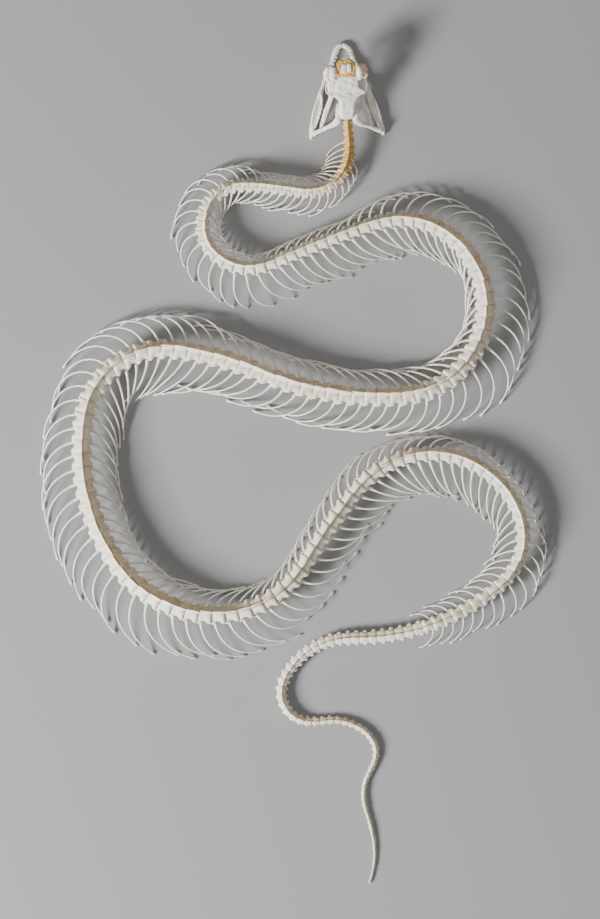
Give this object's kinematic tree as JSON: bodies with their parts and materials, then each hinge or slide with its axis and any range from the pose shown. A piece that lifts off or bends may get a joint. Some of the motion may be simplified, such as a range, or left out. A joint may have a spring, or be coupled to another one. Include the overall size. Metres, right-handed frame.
{
  "type": "snake skeleton",
  "caption": "Complete skeleton of a pit viper resting belly down in loose curves, its ribs spread on both sides, its lower jaws open under the raised snout and its tail coiled to a fine tip.",
  "frame": {"origin": "middle of the model's footprint, on the floor it rests on", "axes": "+Z up from the floor; +Y along the footprint's long side, towards the end where the head lies; +X to the right when seen from above with +Y up"},
  "size_m": [0.2609, 0.4377, 0.0236],
  "materials": {
    "bone": "matte, dry and slightly porous",
    "stained_bone": "matte, stained amber by old grease"
  },
  "bodies": {
    "root": {"skull_cranium": "bone", "maxilla_left": "bone", "maxilla_right": "bone", "mandible_left": "bone", "mandible_right": "bone", "palate_left": "bone", "palate_right": "bone", "quadrate_left": "bone", "quadrate_right": "bone", "neck_left": "stained_bone", "trunk_01_left": "bone", "trunk_02_left": "bone", "trunk_03_left": "bone", "trunk_04_left": "bone", "trunk_05_left": "bone", "trunk_06_left": "bone", "trunk_07_left": "bone", "neck_right": "stained_bone", "trunk_01_right": "bone", "trunk_02_right": "bone", "trunk_03_right": "bone", "trunk_04_right": "bone", "trunk_05_right": "bone", "trunk_06_right": "bone", "trunk_07_right": "bone", "tail_1": "bone", "tail_2": "bone", "tail_3": "bone"}
  },
  "joints": []
}
